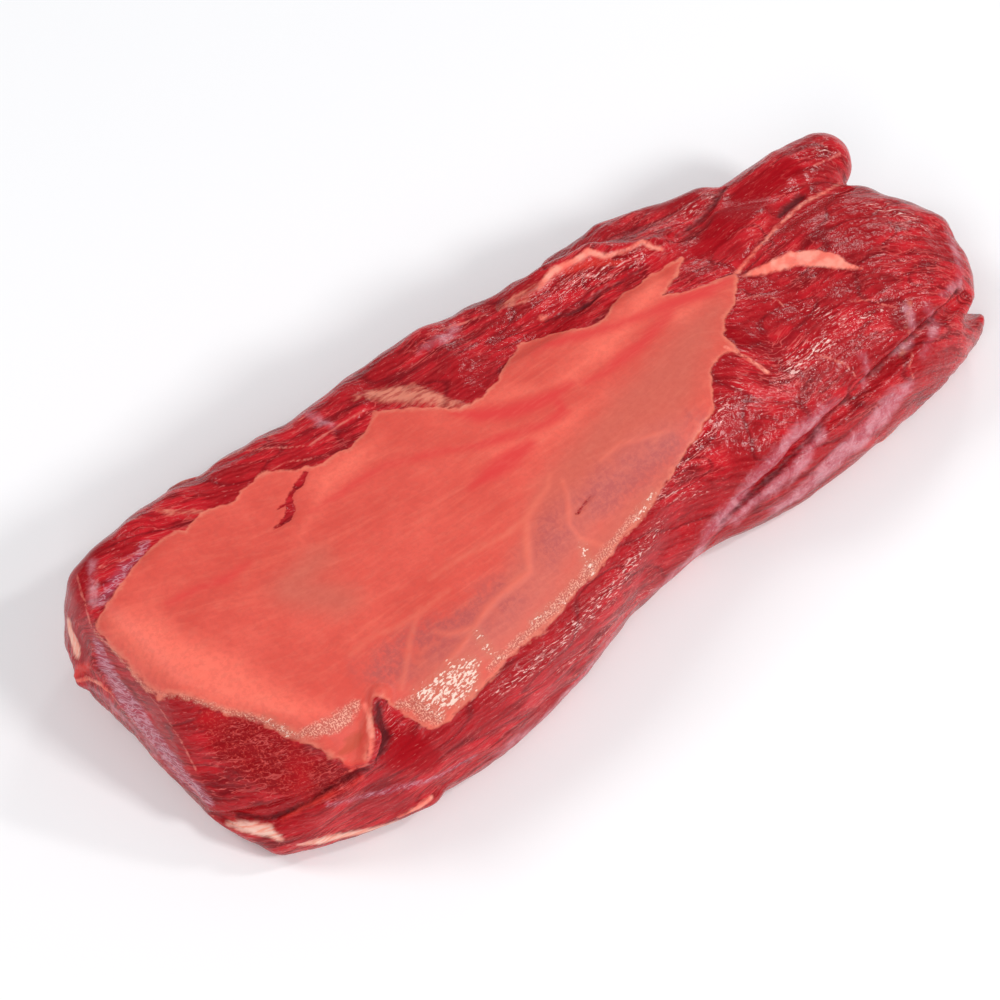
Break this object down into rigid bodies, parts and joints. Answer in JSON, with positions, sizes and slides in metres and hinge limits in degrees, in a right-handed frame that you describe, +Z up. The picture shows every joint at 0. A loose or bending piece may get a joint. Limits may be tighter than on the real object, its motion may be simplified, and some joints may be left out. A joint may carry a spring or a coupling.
{
  "type": "beef shoulder roast",
  "caption": "Long boneless slab of raw beef with a smooth fascia sheet on its crown, sawn square at one end and ragged at the other, flat underneath",
  "frame": {"origin": "middle of the outline seen from above, on the flat underside that the meat rests on", "axes": "+X along the slab from the sawn end to the ragged neck end, +Y to the back edge with the free muscle roll, +Z up out of the fascia"},
  "size_m": [0.4195, 0.1732, 0.0722],
  "materials": {
    "raw_beef": "wet"
  },
  "bodies": {
    "root": {"shoulder_roast": "raw_beef"}
  },
  "joints": []
}
